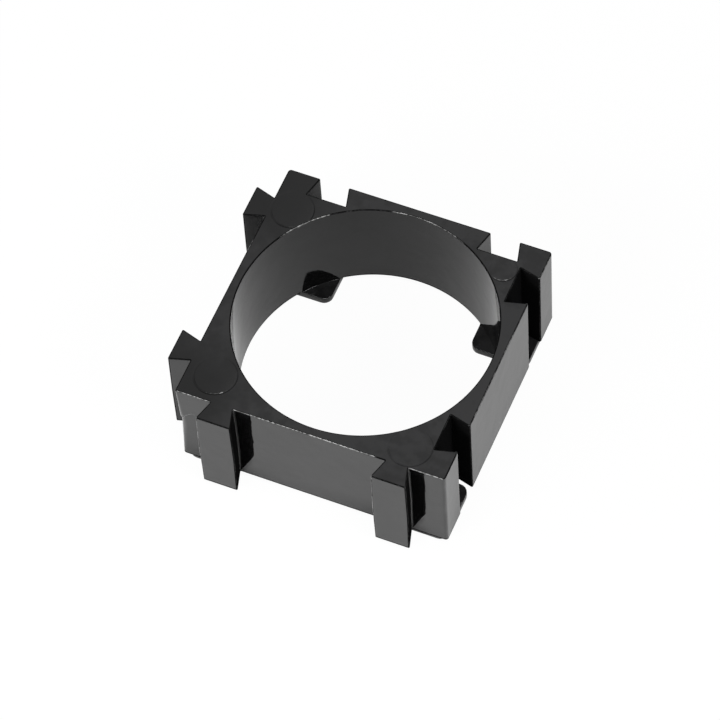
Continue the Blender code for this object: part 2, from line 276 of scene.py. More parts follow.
# Across a round the rub and painted highlight follow the sine of twice the angle, so that they are greatest
# half way. Along the gate's lip they are a bell curve of the height over the arch.
lip = np.exp(-((wall_z - arch) / (GATE_SLOPE * GATE_LIP)) ** 2) * across_gate * on_front
level_wear_and_highlight = np.sin(row_at_top * 2)[:, None] * top_rub_and_highlight_share + np.sin(row_at_foot * 2)[:, None] * FOOT_RUB_AND_HIGHLIGHT_SHARE
wall_wear_and_highlight = np.maximum(np.maximum(level_wear_and_highlight, corner_round * upright_rub_and_highlight_share), lip * GATE_RUB_AND_HIGHLIGHT_SHARE)

# The finish, which the steel of the mould gives. It could not be polished on the flanks of the front
# tongues, inside the right grooves, on the small rounds and just above the foot, so the plastic is matt
# there. It is satin on a flank of a left tongue and of a back groove, and at a front tongue's root.
POLISHED, SATIN, MATT = 0, 1, 2
FLANK_RUNS = (0, 2, 4, 6)
KEY_END_RUNS = (1, 5)
ROOT_CORNERS = (0, 3, 4, 7)
FIRST_KEY_FAR_FLANK = 2
FIRST_KEY_FAR_ROOT = 3
SECOND_KEY_FAR_FLANK = 6
run = corner_number % CORNERS_A_SIDE
side = corner_number // CORNERS_A_SIDE
tongue_root = np.isin(side, (FRONT_SIDE, LEFT_SIDE)) & np.isin(run, ROOT_CORNERS)
small_round = ~on_run & (run != BLOCK_CORNER) & ~tongue_root
matt_flank = np.isin(side, (FRONT_SIDE, RIGHT_SIDE)) & np.isin(run, FLANK_RUNS)
matt_floor = (side == RIGHT_SIDE) & np.isin(run, KEY_END_RUNS)
left_satin = (side == LEFT_SIDE) & (run == FIRST_KEY_FAR_FLANK)
back_satin = (side == BACK_SIDE) & (run == SECOND_KEY_FAR_FLANK)
satin_root = ~on_run & (side == FRONT_SIDE) & (run == FIRST_KEY_FAR_ROOT)
matt_column = small_round | (on_run & (matt_flank | matt_floor))
satin_column = satin_root | (on_run & (left_satin | back_satin))


def in_matt_band(height):
    """Whether each row lies in the band at the foot of a wall, or on the round at its top."""
    return (height <= band_end) | (height >= top)


wall_finish = np.maximum(MATT * in_matt_band(row_height)[:, None], MATT * matt_column + SATIN * satin_column)

# The bore that the cell goes in. A polished core pin of the mould leaves it, in the same plastic, and it
# narrows a little towards the foot. Its fillets into the pads are polished too.
BORE_FOOT_RADIUS = 16.2 * MM
BORE_MOUTH_RADIUS = 16.35 * MM
BORE_COLUMNS = 432
RIM_BAND = 0.15 * MM
angle = np.arange(BORE_COLUMNS) * 2 * np.pi / BORE_COLUMNS
bore_outward = np.stack((np.cos(angle), np.sin(angle)), 1)
plain_bore = np.linspace(band_end, near_top - RIM_BAND, round((near_top - near_foot) / ROW_SPACING))
bore_rows = wall_rows(np.concatenate(([near_foot], plain_bore, [near_top])))
bore_height, bore_at_foot, bore_at_top = bore_rows[:3]
bore_foot_round = foot_radius(bore_outward * BORE_FOOT_RADIUS, BORE_FILLET)
bore_z, bore_inset = round_ends(*bore_rows, bore_foot_round, EDGE_RADIUS)
bore_radius = BORE_FOOT_RADIUS + (BORE_MOUTH_RADIUS - BORE_FOOT_RADIUS) * (bore_z - foot) / (top - foot)
bore_points = np.concatenate((bore_outward * (bore_radius + bore_inset)[..., None], bore_z[..., None]), 2)
on_fillet = (bore_z < middle) & (bore_foot_round < 0)
bore_finish = MATT * (in_matt_band(bore_height)[:, None] & ~on_fillet)
# Its rim takes rub and painted highlight along two stretches at the back, given in degrees round from the
# right.
RIM_RUB_AND_HIGHLIGHT_ANGLES = np.array((0, 64, 72, 98, 104, 126, 132, 148, 154, 360))
RIM_RUB_AND_HIGHLIGHT_SHARES = np.array((0.08, 0.08, 0.85, 0.8, 0.25, 0.25, 1.0, 1.0, 0.1, 0.08))
rim_rub_and_highlight_share = np.interp(np.degrees(angle), RIM_RUB_AND_HIGHLIGHT_ANGLES, RIM_RUB_AND_HIGHLIGHT_SHARES)
bore_wear_and_highlight = np.sin(bore_at_top * 2)[:, None] * rim_rub_and_highlight_share + np.sin(bore_at_foot * 2)[:, None] * FOOT_RUB_AND_HIGHLIGHT_SHARE

# The top and the foot are flat faces between the two walls. Four ejector pins pushed the bracket out
# of its mould, and left a round witness line in the top near each corner. Each line is deepest on one
# side, given in degrees, and its shallow side keeps a share of that.
MARK_CENTRES = np.array(((-13.8, -13.8), (11.95, -14.7), (-14.7, 11.95), (12.77, 13.03))) * MM
MARK_RADII = np.array((2.65, 2.65, 2.65, 1.7)) * MM
MARK_SINK = 0.02 * MM
MARK_LINE_HALF_WIDTH = 0.15 * MM
MARK_LINE_DEPTHS = np.array((0.065, 0.055, 0.065, 0.075)) * MM
MARK_DEEP_SIDES = np.radians((296, 290, 296, 310))
MARK_SHALLOW_SHARES = (0.3, 0.45, 0.2, 0.05)
MARK_RIPPLES = 7
MARK_RIPPLE_SHARE = 0.15
# The witness lines also carry rub and painted highlight on their inner walls.
MARK_RUB_AND_HIGHLIGHT_SHARES = np.array((0.33, 0.0, 0.2, 0.6))
MARK_NEAR_SIDE = math.radians(292)
MARK_RUB_AND_HIGHLIGHT_FALL = 1.8
MARK_RUB_AND_HIGHLIGHT_PLACE = -0.5
MARK_RUB_AND_HIGHLIGHT_REACH = 0.3
MARK_COLUMNS = 72
MARK_RING_SHARES = np.array((-1.6, -1, -0.67, -0.33, 0, 0.33, 0.67, 1, 1.6))
FACE_SPACING = 0.9 * MM
CLEAR = 0.1 * MM
KEEP_INSIDE = 1
SAME_POINT = 1e-9


def inside(points, ring):
    """Whether each point lies in a closed ring: a line to the right of it crosses an odd number of edges."""
    x, y = points[:, None, 0], points[:, None, 1]
    start_x, start_y = ring[:, 0], ring[:, 1]
    end_x, end_y = np.roll(start_x, -1), np.roll(start_y, -1)
    spans = (start_y > y) != (end_y > y)
    crossing = start_x + (y - start_y) * (end_x - start_x) / np.where(end_y == start_y, 1, end_y - start_y)
    return (spans & (crossing > x)).sum(1) % 2 == 1


def fill_between(outer, inner, extra):
    """Triangles of the flat face between an outer and an inner ring, with extra points inside it where
    they stand clear of both. Returns the points that were added and the triangles, which face up."""
    rings = np.concatenate((outer, inner))
    keep = inside(extra, outer) & ~inside(extra, inner)
    nearest = np.linalg.norm(extra[:, None] - rings, axis=2).min(1)
    extra = extra[keep & (nearest > CLEAR)]
    points = [Vector(point) for point in np.concatenate((rings, extra)).tolist()]
    count, ring_count = len(outer), len(rings)
    edges = [(here, (here + 1) % count) for here in range(count)]
    edges += [(here, here + 1 if here + 1 < ring_count else count) for here in range(count, ring_count)]
    found, _, triangles, origins, _, _ = geometry.delaunay_2d_cdt(points, edges, [], KEEP_INSIDE, SAME_POINT)
    if len(found) != len(points):
        raise ValueError("the face's points or edges meet")
    source = np.array([origin[0] for origin in origins])
    triangles = source[np.array(triangles)]
    centres = np.concatenate((rings, extra))[triangles].mean(1)
    return extra, triangles[~inside(centres, inner)]


def face_points():
    """A lattice over the whole face, and rings of points on both sides of each witness line."""
    span = np.arange(-half_block - TONGUE_DEPTH, half_block, FACE_SPACING)
    x, y = np.meshgrid(span, span)
    x[1::2] += FACE_SPACING / 2
    lattice = np.stack((x, y), 2).reshape(-1, 2)
    to_marks = np.linalg.norm(lattice[:, None] - MARK_CENTRES, axis=2)
    lattice = lattice[(np.abs(to_marks - MARK_RADII) > 3 * MARK_LINE_HALF_WIDTH).all(1)]
    angle = np.arange(MARK_COLUMNS) * 2 * np.pi / MARK_COLUMNS
    ring = np.stack((np.cos(angle), np.sin(angle)), 1)
    reach = MARK_RADII[:, None] + MARK_RING_SHARES * MARK_LINE_HALF_WIDTH
    marks = MARK_CENTRES[:, None, None] + reach[..., None, None] * ring
    return lattice, marks.reshape(-1, 2)


def place_on_mark(points, centre, radius):
    """How far each point lies outside a witness line, in half widths of the line, and its angle round."""
    away = points - centre
    across = (np.linalg.norm(away, axis=1) - radius) / MARK_LINE_HALF_WIDTH
    return across, np.arctan2(away[:, 1], away[:, 0])


def mark_height(points):
    """Depth of the ejector marks: level outside, a narrow trough of a raised cosine at the mark's
    radius, which fades round the mark as one plus the cosine of the angle from its deep side and
    ripples a little, and a slight even sink inside it."""
    height = np.zeros(len(points))
    marks = zip(MARK_CENTRES, MARK_RADII, MARK_LINE_DEPTHS, MARK_DEEP_SIDES, MARK_SHALLOW_SHARES)
    for centre, radius, depth, deep_side, shallow in marks:
        across, round_mark = place_on_mark(points, centre, radius)
        trough = np.where(np.abs(across) < 1, 0.5 + 0.5 * np.cos(np.pi * across), 0)
        facing = 0.5 + 0.5 * np.cos(round_mark - deep_side)
        ripple = 1 - MARK_RIPPLE_SHARE + MARK_RIPPLE_SHARE * np.cos(MARK_RIPPLES * round_mark + deep_side)
        height -= depth * trough * ripple * (shallow + (1 - shallow) * facing)
        height -= MARK_SINK * np.clip(0.5 - across / 2, 0, 1)
    return height


def mark_wear_and_highlight(points):
    """Rub and painted highlight along the inner wall of each witness line. It is full at the near side, which
    faces the camera, and lessens by the fall times one minus the cosine of the angle from there."""
    wear_and_highlight = np.zeros(len(points))
    for centre, radius, share in zip(MARK_CENTRES, MARK_RADII, MARK_RUB_AND_HIGHLIGHT_SHARES):
        across, round_mark = place_on_mark(points, centre, radius)
        near = np.clip(1 - (1 - np.cos(round_mark - MARK_NEAR_SIDE)) * MARK_RUB_AND_HIGHLIGHT_FALL, 0, 1)
        wear_and_highlight = np.maximum(wear_and_highlight, share * near * (np.abs(across - MARK_RUB_AND_HIGHLIGHT_PLACE) < MARK_RUB_AND_HIGHLIGHT_REACH))
    return wear_and_highlight


wall_shape, bore_shape = wall_points.shape[:2], bore_points.shape[:2]
wall_count, bore_count = wall_shape[0] * wall_shape[1], bore_shape[0] * bore_shape[1]
lattice, mark_points = face_points()
top_extra, top_triangles = fill_between(wall_points[-1, :, :2], bore_points[-1, :, :2],
                                        np.concatenate((lattice, mark_points)))
foot_extra, foot_triangles = fill_between(wall_points[0, :, :2], bore_points[0, :, :2], lattice)


def grid_faces(row_count, column_count, first, outside):
    """Quads of a grid whose columns close on themselves; outside tells which way they face."""
    row, column = np.meshgrid(np.arange(row_count - 1), np.arange(column_count), indexing="ij")
    here = first + row * column_count + column
    beside = first + row * column_count + (column + 1) % column_count
    quads = np.stack((here, beside, beside + column_count, here + column_count), 2).reshape(-1, 4)
    return quads if outside else quads[:, ::-1]


def face_indices(triangles, outer_first, inner_first, extra_first):
    """Turns the triangles' local numbers into the mesh's own: outer ring, inner ring, then the rest."""
    outer_count, inner_count = wall_shape[1], bore_shape[1]
    local = np.concatenate((outer_first + np.arange(outer_count), inner_first + np.arange(inner_count),
                            extra_first + np.arange(triangles.max() + 1)))
    return local[triangles]


top_first = wall_count + bore_count
foot_first = top_first + len(top_extra)
top_faces = face_indices(top_triangles, wall_count - wall_shape[1], top_first - bore_shape[1], top_first)
foot_faces = face_indices(foot_triangles, 0, wall_count, foot_first)[:, ::-1]
body_points = np.concatenate((
    wall_points.reshape(-1, 3), bore_points.reshape(-1, 3),
    np.column_stack((top_extra, np.full(len(top_extra), top))),
    np.column_stack((foot_extra, np.full(len(foot_extra), foot)))))
on_top = np.clip((body_points[:, 2] - near_top) / EDGE_RADIUS, 0, 1)
body_points[:, 2] += on_top * mark_height(body_points[:, :2])
foot_wear = np.zeros(len(foot_extra))
body_wear_and_highlight = np.concatenate((wall_wear_and_highlight.ravel(), bore_wear_and_highlight.ravel(), mark_wear_and_highlight(top_extra), foot_wear))
flat_finish = np.full(len(top_extra) + len(foot_extra), POLISHED)
body_finish = np.concatenate((wall_finish.ravel(), bore_finish.ravel(), flat_finish))
body_faces = (grid_faces(*wall_shape, 0, True).tolist() + grid_faces(*bore_shape, wall_count, False).tolist()
              + top_faces.tolist() + foot_faces.tolist())


def add_piece(name, points, faces, wear_and_highlight, finish):
    """A mesh object from points about the bore's axis, with its wear and painted highlight, and its finish,
    kept as attributes.
    """
    mesh = bpy.data.meshes.new(name)
    points = points + np.array((bore_axis[0], bore_axis[1], 0))
    mesh.from_pydata(points.tolist(), [], faces)
    mesh.attributes.new("edge_wear_and_highlight", "FLOAT", "POINT").data.foreach_set("value", wear_and_highlight)
    mesh.attributes.new("finish", "FLOAT", "POINT").data.foreach_set("value", finish)
    mesh.update()
    piece = bpy.data.objects.new(name, mesh)
    bpy.context.scene.collection.objects.link(piece)
    return piece


bracket = add_piece("moulded_bracket", body_points, body_faces, body_wear_and_highlight, body_finish)

# The stop pads, one under each corner. The cell comes to rest on the tips that reach into the bore,
# and the pads close the grooves at the foot. They belong to the same moulding, and are joined to it.
PAD_RUN_STEPS = 24
PAD_FOOT_RADIUS = 0.12 * MM
PAD_TOP_RADIUS = 0.07 * MM


def open_depth(points):
    """How deep each point lies in the bore or in a groove, where a pad's top lies open. It is the
    greatest of the depths in the bore and in each groove, and negative where there is none."""
    depth = BORE_FOOT_RADIUS - np.linalg.norm(points, axis=-1)
    lean = (GROOVE_HALF_FLOOR - GROOVE_HALF_MOUTH) / GROOVE_DEPTH
    for across, outwards in ((0, 1), (1, 0)):
        reach = half_block - points[..., outwards]
        for offset in (-TONGUE_OFFSET, TONGUE_OFFSET):
            beside = GROOVE_HALF_MOUTH + lean * reach - np.abs(points[..., across] - offset)
            depth = np.maximum(depth, np.minimum(beside, GROOVE_DEPTH - reach))
    return depth


def pad_mesh(side_x, side_y, first):
    """One pad: a square with round corners drawn up from the table to the block's foot. The foot edge is
    rounded all round, and the top edge where it lies open."""
    square = np.array(((1, -1), (1, 1), (-1, 1), (-1, -1))) * pad_half_width
    corners = square[None] + np.array((side_x, side_y)) * pad_middle
    steps = np.full(4, PAD_RUN_STEPS)
    points, normals, _, _, _ = rounded_outline(corners, np.full((1, 4), PAD_CORNER_RADIUS), steps)
    points, normals = points[0], normals[0]
    top_round = np.clip(open_depth(points) / PAD_BLEND, 0, 1) * PAD_TOP_RADIUS
    top_round = np.maximum(top_round, THINNEST_ROUND)
    foot_round = np.full(len(points), PAD_FOOT_RADIUS)
    angles = np.linspace(1, 0, ROUND_STEPS + 1)[:, None] * np.pi / 2
    foot_inset = foot_round * (1 - np.cos(angles))
    foot_z = foot_round * (1 - np.sin(angles))
    top_inset = (top_round * (1 - np.cos(angles)))[::-1]
    top_z = (foot - top_round * (1 - np.sin(angles)))[::-1]
    inset = np.concatenate((foot_inset[:1] + SUPPORT, foot_inset, top_inset, top_inset[-1:] + SUPPORT))
    z = np.concatenate((foot_z[:1], foot_z, top_z, top_z[-1:]))
    verts = np.concatenate((points - normals * inset[..., None], z[..., None]), 2)
    shape = verts.shape[:2]
    faces = grid_faces(*shape, first, True).tolist()
    faces.append((first + np.arange(shape[1]))[::-1].tolist())
    faces.append((first + (shape[0] - 1) * shape[1] + np.arange(shape[1])).tolist())
    return verts.reshape(-1, 3), faces


pad_verts, pad_faces = [], []
for side_x, side_y in PAD_PLACES:
    verts, faces = pad_mesh(side_x, side_y, sum(len(part) for part in pad_verts))
    pad_verts.append(verts)
    pad_faces += faces
pad_points = np.concatenate(pad_verts)
no_rub_or_highlight = np.zeros(len(pad_points))
pads = add_piece("stop_pads", pad_points, pad_faces, no_rub_or_highlight, np.full(len(pad_points), POLISHED))
join = bracket.modifiers.new("pads", "BOOLEAN")
join.operation = "UNION"
join.solver = "EXACT"
join.object = pads
joined = bpy.data.meshes.new_from_object(bracket.evaluated_get(bpy.context.evaluated_depsgraph_get()))
bracket.modifiers.clear()
bracket.data = joined
bpy.data.objects.remove(pads, do_unlink=True)

# The joined moulding. The pads carry no rub or painted highlight and are polished, a face takes the smoothest
# finish among its corners, and the flat triangles of the top and the foot are polished. Faces that meet at
# more than the sharp angle keep their edge, and the rest shade smoothly.
HEIGHT_SLACK = 0.001 * MM
FINISH_SLACK = 0.05
LEVEL_NORMAL = 0.99
SHARP_ANGLE = math.radians(35)


def read_values(elements, name, width=1, kind=np.float32):
    """What a mesh's elements hold under a name, as one array with width numbers for each element."""
    values = np.zeros(len(elements) * width, dtype=kind)
    elements.foreach_get(name, values)
    return values


on_pad = read_values(joined.vertices, "co", 3)[2::3] < foot - HEIGHT_SLACK
joined_wear_and_highlight = read_values(joined.attributes["edge_wear_and_highlight"].data, "value")
joined_wear_and_highlight[on_pad] = 0
joined.attributes["edge_wear_and_highlight"].data.foreach_set("value", joined_wear_and_highlight)
point_finish = read_values(joined.attributes["finish"].data, "value")
point_finish[on_pad] = POLISHED
loop_points = read_values(joined.loops, "vertex_index", kind=np.int32)
loop_starts = read_values(joined.polygons, "loop_start", kind=np.int32)
smoothest = np.minimum.reduceat(point_finish[loop_points], loop_starts)
face_finish = np.floor(smoothest + FINISH_SLACK).astype(np.int32)
is_triangle = np.diff(np.append(loop_starts, len(loop_points))) == 3
is_level = np.abs(read_values(joined.polygons, "normal", 3)[2::3]) > LEVEL_NORMAL
face_finish[is_triangle & is_level] = POLISHED
joined.attributes.remove(joined.attributes["finish"])
joined.shade_smooth()
joined.set_sharp_from_angle(angle=SHARP_ANGLE)
flats = bracket.modifiers.new("flat_faces", "WEIGHTED_NORMAL")
flats.keep_sharp = True
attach(bracket, "root")
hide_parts("cell_bracket")

# The skin that the steel leaves: long shallow waves where the plastic shrank, finer ripples, haze in patches,
# and streaks drawn down the walls as the bracket came off the core. A fine mottle breaks up the painted sheen
# on the faces that look up.
WAVE_SIZE = 3.0 * MM
RIPPLE_SIZE = 1.0 * MM
HAZE_SIZE = 7.0 * MM
HAZE_SPAN = (0.33, 0.68)
STREAK_SIZE = 0.6 * MM
STREAK_STRETCH = (1, 1, 0.04)
STREAK_SPAN = (0.45, 0.75)
MOTTLE_SIZE = 1.3 * MM
MOTTLE_SPAN = (0.35, 0.65)
MOTTLE_SHARES = (0.6, 1.25)


def add_node(tree, kind, inputs, **settings):
    """A shader node with its settings; each input is a value, or another node's output to join to."""
    node = tree.nodes.new("ShaderNode" + kind)
    for name, value in settings.items():
        setattr(node, name, value)
    for name, value in inputs.items():
        if isinstance(value, bpy.types.NodeSocket):
            tree.links.new(value, node.inputs[name])
        else:
            node.inputs[name].default_value = value
    return node


def spread(tree, value, span, onto=(0.0, 1.0)):
    """Takes a value's span, from low to high, onto another, with soft ends."""
    ends = {"Value": value, "From Min": span[0], "From Max": span[1], "To Min": onto[0], "To Max": onto[1]}
    return add_node(tree, "MapRange", ends, interpolation_type="SMOOTHSTEP").outputs["Result"]


def reckon(tree, operation, first, second=0.0, third=0.0):
    """One step of arithmetic with values that change over the surface."""
    return add_node(tree, "Math", {0: first, 1: second, 2: third}, operation=operation).outputs[0]


def blotches(tree, place, size, detail=1.0):
    """Cloudy noise whose blotches are about as wide as the size."""
    return add_node(tree, "TexNoise", {"Vector": place, "Scale": 1 / size, "Detail": detail}).outputs[0]


def new_effect(name, inputs, outputs):
    """An empty node group that takes a place and values, and gives values."""
    group = bpy.data.node_groups.new(name, "ShaderNodeTree")
    group.interface.new_socket("Place", in_out="INPUT", socket_type="NodeSocketVector")
    for label in inputs:
        group.interface.new_socket(label, in_out="INPUT", socket_type="NodeSocketFloat")
    for label in outputs:
        group.interface.new_socket(label, in_out="OUTPUT", socket_type="NodeSocketFloat")
    return group, group.nodes.new("NodeGroupInput").outputs, group.nodes.new("NodeGroupOutput").inputs


def give(group, results, **values):
    """Joins a group's results to its output sockets."""
    for label, value in values.items():
        group.links.new(value, results[label])


skin, given, results = new_effect("moulded_skin", ("Wave height", "Ripple height"),
                                  ("Height", "Haze", "Streaks", "Mottle"))
waves = reckon(skin, "MULTIPLY", blotches(skin, given["Place"], WAVE_SIZE), given["Wave height"])
ripples = blotches(skin, given["Place"], RIPPLE_SIZE)
height = reckon(skin, "MULTIPLY_ADD", ripples, given["Ripple height"], waves)
haze = spread(skin, blotches(skin, given["Place"], HAZE_SIZE, detail=4), HAZE_SPAN)
drawn = add_node(skin, "Mapping", {"Vector": given["Place"], "Scale": STREAK_STRETCH}).outputs[0]
streaks = spread(skin, blotches(skin, drawn, STREAK_SIZE, detail=2), STREAK_SPAN)
mottle = spread(skin, blotches(skin, given["Place"], MOTTLE_SIZE, detail=3), MOTTLE_SPAN, MOTTLE_SHARES)
give(skin, results, Height=height, Haze=haze, Streaks=streaks, Mottle=mottle)

# Rubbed and highlighted edges: where an edge is worn from handling, and where a highlight is painted on it,
# the black turns grey in scuffs that come and go along it, with small nicks among them.
SCUFF_SIZE = 2.2 * MM
SCUFF_SPAN = (0.35, 0.6)
SCUFF_SHARES = (0.6, 1.0)
NICK_SIZE = 0.35 * MM
NICK_SPAN = (0.35, 0.62)
NICK_SHARES = (0.45, 1.0)
RUB_AND_HIGHLIGHT_SPAN = (0.06, 0.85)
edges, given, results = new_effect("rubbed_and_highlighted_edges", ("Wear_and_highlight",), ("Rub",))
scuffs = spread(edges, blotches(edges, given["Place"], SCUFF_SIZE, detail=2), SCUFF_SPAN, SCUFF_SHARES)
nicks = spread(edges, blotches(edges, given["Place"], NICK_SIZE), NICK_SPAN, NICK_SHARES)
rub_and_highlight_mask = reckon(edges, "MULTIPLY", given["Wear_and_highlight"], reckon(edges, "MULTIPLY", scuffs, nicks))
give(edges, results, Rub=spread(edges, rub_and_highlight_mask, RUB_AND_HIGHLIGHT_SPAN))

# Fine scratches from handling, on the upright faces. They are thin lines where a noise that is drawn
# out along them passes its middle value, and they show in patches.
SCRATCH_SPACING = 1.6 * MM
SCRATCH_STRETCH = (0.025, 1, 1)
SCRATCH_PATCH = 6.0 * MM
PATCH_SPAN = (0.52, 0.68)
NOISE_MIDDLE = 0.5
LINE_SPAN = (0.002, 0.008)
FADING = (1, 0)
scratches, given, results = new_effect("fine_scratches", ("Turn", "Tip"), ("Scratch",))
turned = add_node(scratches, "CombineXYZ", {"X": given["Tip"], "Z": given["Turn"]}).outputs[0]
drawn = add_node(scratches, "Mapping", {"Vector": given["Place"], "Rotation": turned}).outputs[0]
drawn = add_node(scratches, "Mapping", {"Vector": drawn, "Scale": SCRATCH_STRETCH}).outputs[0]
noise = blotches(scratches, drawn, SCRATCH_SPACING, detail=0)
from_middle = reckon(scratches, "ABSOLUTE", reckon(scratches, "SUBTRACT", noise, NOISE_MIDDLE))
line = spread(scratches, from_middle, LINE_SPAN, FADING)
patch = spread(scratches, blotches(scratches, given["Place"], SCRATCH_PATCH), PATCH_SPAN)
give(scratches, results, Scratch=reckon(scratches, "MULTIPLY", line, patch))

# Specks of dust and of bright flash that cling to the plastic: a small round spot in a few of the cells
# of a random pattern.
SPECK_SPACING = 2.6 * MM
SPOT_SPAN = (0.02, 0.04)
specks, given, results = new_effect("specks", ("Amount",), ("Speck",))
cells = add_node(specks, "TexVoronoi", {"Vector": given["Place"], "Scale": 1 / SPECK_SPACING}).outputs
spot = spread(specks, cells["Distance"], SPOT_SPAN, FADING)
chosen = reckon(specks, "LESS_THAN", cells["Color"], given["Amount"])
give(specks, results, Speck=reckon(specks, "MULTIPLY", spot, chosen))

# Black plastic, glossy where the steel was polished and matt where it was not. A little haze lies all over
# it, and its faces that look up are lightened with painted sheen, which stands in for the light they reflect:
# most along the middle of each side and towards the right, least at the corners, and even on the tops of the
# pads. Heights are in micrometres.
CLEAN_BLACK = (0.0025, 0.0025, 0.0026, 1)
HAZE_AND_SHEEN_BLACK = (0.015, 0.015, 0.0155, 1)
MATT_BLACK = (0.004, 0.004, 0.0041, 1)
SCRATCH_GREY = (0.018, 0.018, 0.0185, 1)
# The rub grey is partly wear and partly painted highlight on the edges.
RUB_AND_HIGHLIGHT_GREY = (0.3, 0.3, 0.3, 1)
SPECK_GREY = (0.3, 0.3, 0.3, 1)
PLASTIC_IOR = 1.52
MICROMETRE = 1e-6
WAVE_HEIGHT = 28
RIPPLE_HEIGHT = 7
SCRATCH_DEPTH = 1.5
SCRATCH_TURN = math.radians(8)
SCRATCH_TIP = math.radians(80)
SCRATCH_ROUGHNESS = 0.15
STREAK_ROUGHNESS = 0.05
RUB_ROUGHNESS = 0.35
SPECK_AMOUNT = 0.08
FACING_UP_SPAN = (0.5, 0.95)
ACROSS_SPAN = (-18 * MM, 18 * MM)
ACROSS_SHEEN = (-0.2, 0.5)
MID_SIDE_SPAN = (5 * MM, 13 * MM)
MID_SIDE_SHEEN = (0.85, 0.2)
PAD_TOP_SPAN = (1.02 * MM, 1.15 * MM)
PAD_TOP_SHEEN = (0.6, 0)
ALL_OVER_HAZE = 0.15


def use_effect(tree, group, inputs):
    """Places an effect in a material and gives its outputs."""
    return add_node(tree, "Group", inputs, node_tree=group).outputs


def mix_colours(tree, share, first, second):
    """Goes from the first colour to the second; in a Mix node they are inputs 6 and 7, and output 2."""
    return add_node(tree, "Mix", {0: share, 6: first, 7: second}, data_type="RGBA").outputs[2]


def haze_and_sheen_on(tree, place, skin_marks, upward):
    """A little haze all over, and on the faces that look up much more lightening, which is painted sheen."""
    at = add_node(tree, "SeparateXYZ", {"Vector": place}).outputs
    nearer = reckon(tree, "MINIMUM", reckon(tree, "ABSOLUTE", at["X"]), reckon(tree, "ABSOLUTE", at["Y"]))
    to_right = spread(tree, at["X"], ACROSS_SPAN, ACROSS_SHEEN)
    on_top = reckon(tree, "ADD", spread(tree, nearer, MID_SIDE_SPAN, MID_SIDE_SHEEN), to_right)
    pad_top_sheen = spread(tree, at["Z"], PAD_TOP_SPAN, PAD_TOP_SHEEN)
    level_sheen = reckon(tree, "MULTIPLY", reckon(tree, "MAXIMUM", on_top, pad_top_sheen), upward)
    level_sheen = reckon(tree, "MULTIPLY", level_sheen, skin_marks["Mottle"])
    return reckon(tree, "MULTIPLY_ADD", skin_marks["Haze"], ALL_OVER_HAZE, level_sheen)


def black_plastic(name, gloss_level, plain_roughness, haze_and_sheen_share, clean_black):
    """One finish of the black plastic: its colour goes from clean to hazy, with painted sheen on the faces
    that look up, and on to the greys of scratches, of rubs that carry painted highlight, and of specks; its
    roughness grows with streaks, scratches and rubs."""
    plastic = bpy.data.materials.new(name)
    plastic.use_nodes = True
    tree = plastic.node_tree
    place = add_node(tree, "TexCoord", {}).outputs["Object"]
    wear_and_highlight = add_node(tree, "Attribute", {}, attribute_name="edge_wear_and_highlight").outputs["Fac"]
    surface = add_node(tree, "NewGeometry", {}).outputs["True Normal"]
    up_share = add_node(tree, "SeparateXYZ", {"Vector": surface}).outputs["Z"]
    upward = spread(tree, up_share, FACING_UP_SPAN)
    heights = {"Place": place, "Wave height": WAVE_HEIGHT, "Ripple height": RIPPLE_HEIGHT}
    skin_marks = use_effect(tree, skin, heights)
    rub_and_highlight = use_effect(tree, edges, {"Place": place, "Wear_and_highlight": wear_and_highlight})["Rub"]
    turns = {"Place": place, "Turn": SCRATCH_TURN, "Tip": SCRATCH_TIP}
    scratch = use_effect(tree, scratches, turns)["Scratch"]
    scratch = reckon(tree, "MULTIPLY", scratch, reckon(tree, "SUBTRACT", 1, upward))
    speck = use_effect(tree, specks, {"Place": place, "Amount": SPECK_AMOUNT})["Speck"]

    # The haze here also carries the painted sheen of the faces that look up.
    haze = reckon(tree, "MULTIPLY", haze_and_sheen_on(tree, place, skin_marks, upward), haze_and_sheen_share)
    colour = mix_colours(tree, haze, clean_black, HAZE_AND_SHEEN_BLACK)
    # The greys of scratches and specks are the plastic's own; the rub grey is partly wear and partly painted
    # highlight.
    for mask, grey in ((scratch, SCRATCH_GREY), (rub_and_highlight, RUB_AND_HIGHLIGHT_GREY), (speck, SPECK_GREY)):
        colour = mix_colours(tree, mask, colour, grey)
    roughness = reckon(tree, "MULTIPLY_ADD", skin_marks["Streaks"], STREAK_ROUGHNESS, plain_roughness)
    roughness = reckon(tree, "MULTIPLY_ADD", scratch, SCRATCH_ROUGHNESS, roughness)
    roughness = reckon(tree, "MULTIPLY_ADD", rub_and_highlight, RUB_ROUGHNESS, roughness)
    height = reckon(tree, "MULTIPLY_ADD", scratch, -SCRATCH_DEPTH, skin_marks["Height"])
    bump = add_node(tree, "Bump", {"Height": height, "Distance": MICROMETRE})
    shader = tree.nodes["Principled BSDF"]
    shader.inputs["IOR"].default_value = PLASTIC_IOR
    shader.inputs["Specular IOR Level"].default_value = gloss_level
    tree.links.new(colour, shader.inputs["Base Color"])
    tree.links.new(roughness, shader.inputs["Roughness"])
    tree.links.new(bump.outputs[0], shader.inputs["Normal"])
    return plastic


polished = black_plastic("polished_black_plastic", gloss_level=0.5, plain_roughness=0.05, haze_and_sheen_share=1,
                         clean_black=CLEAN_BLACK)
satin = black_plastic("satin_black_plastic", gloss_level=0.2, plain_roughness=0.15, haze_and_sheen_share=1,
                      clean_black=CLEAN_BLACK)
matt = black_plastic("matt_black_plastic", gloss_level=0.0, plain_roughness=0.5, haze_and_sheen_share=0,
                     clean_black=MATT_BLACK)
joined.materials.clear()
for plastic in (polished, satin, matt):
    joined.materials.append(plastic)
joined.polygons.foreach_set("material_index", face_finish)

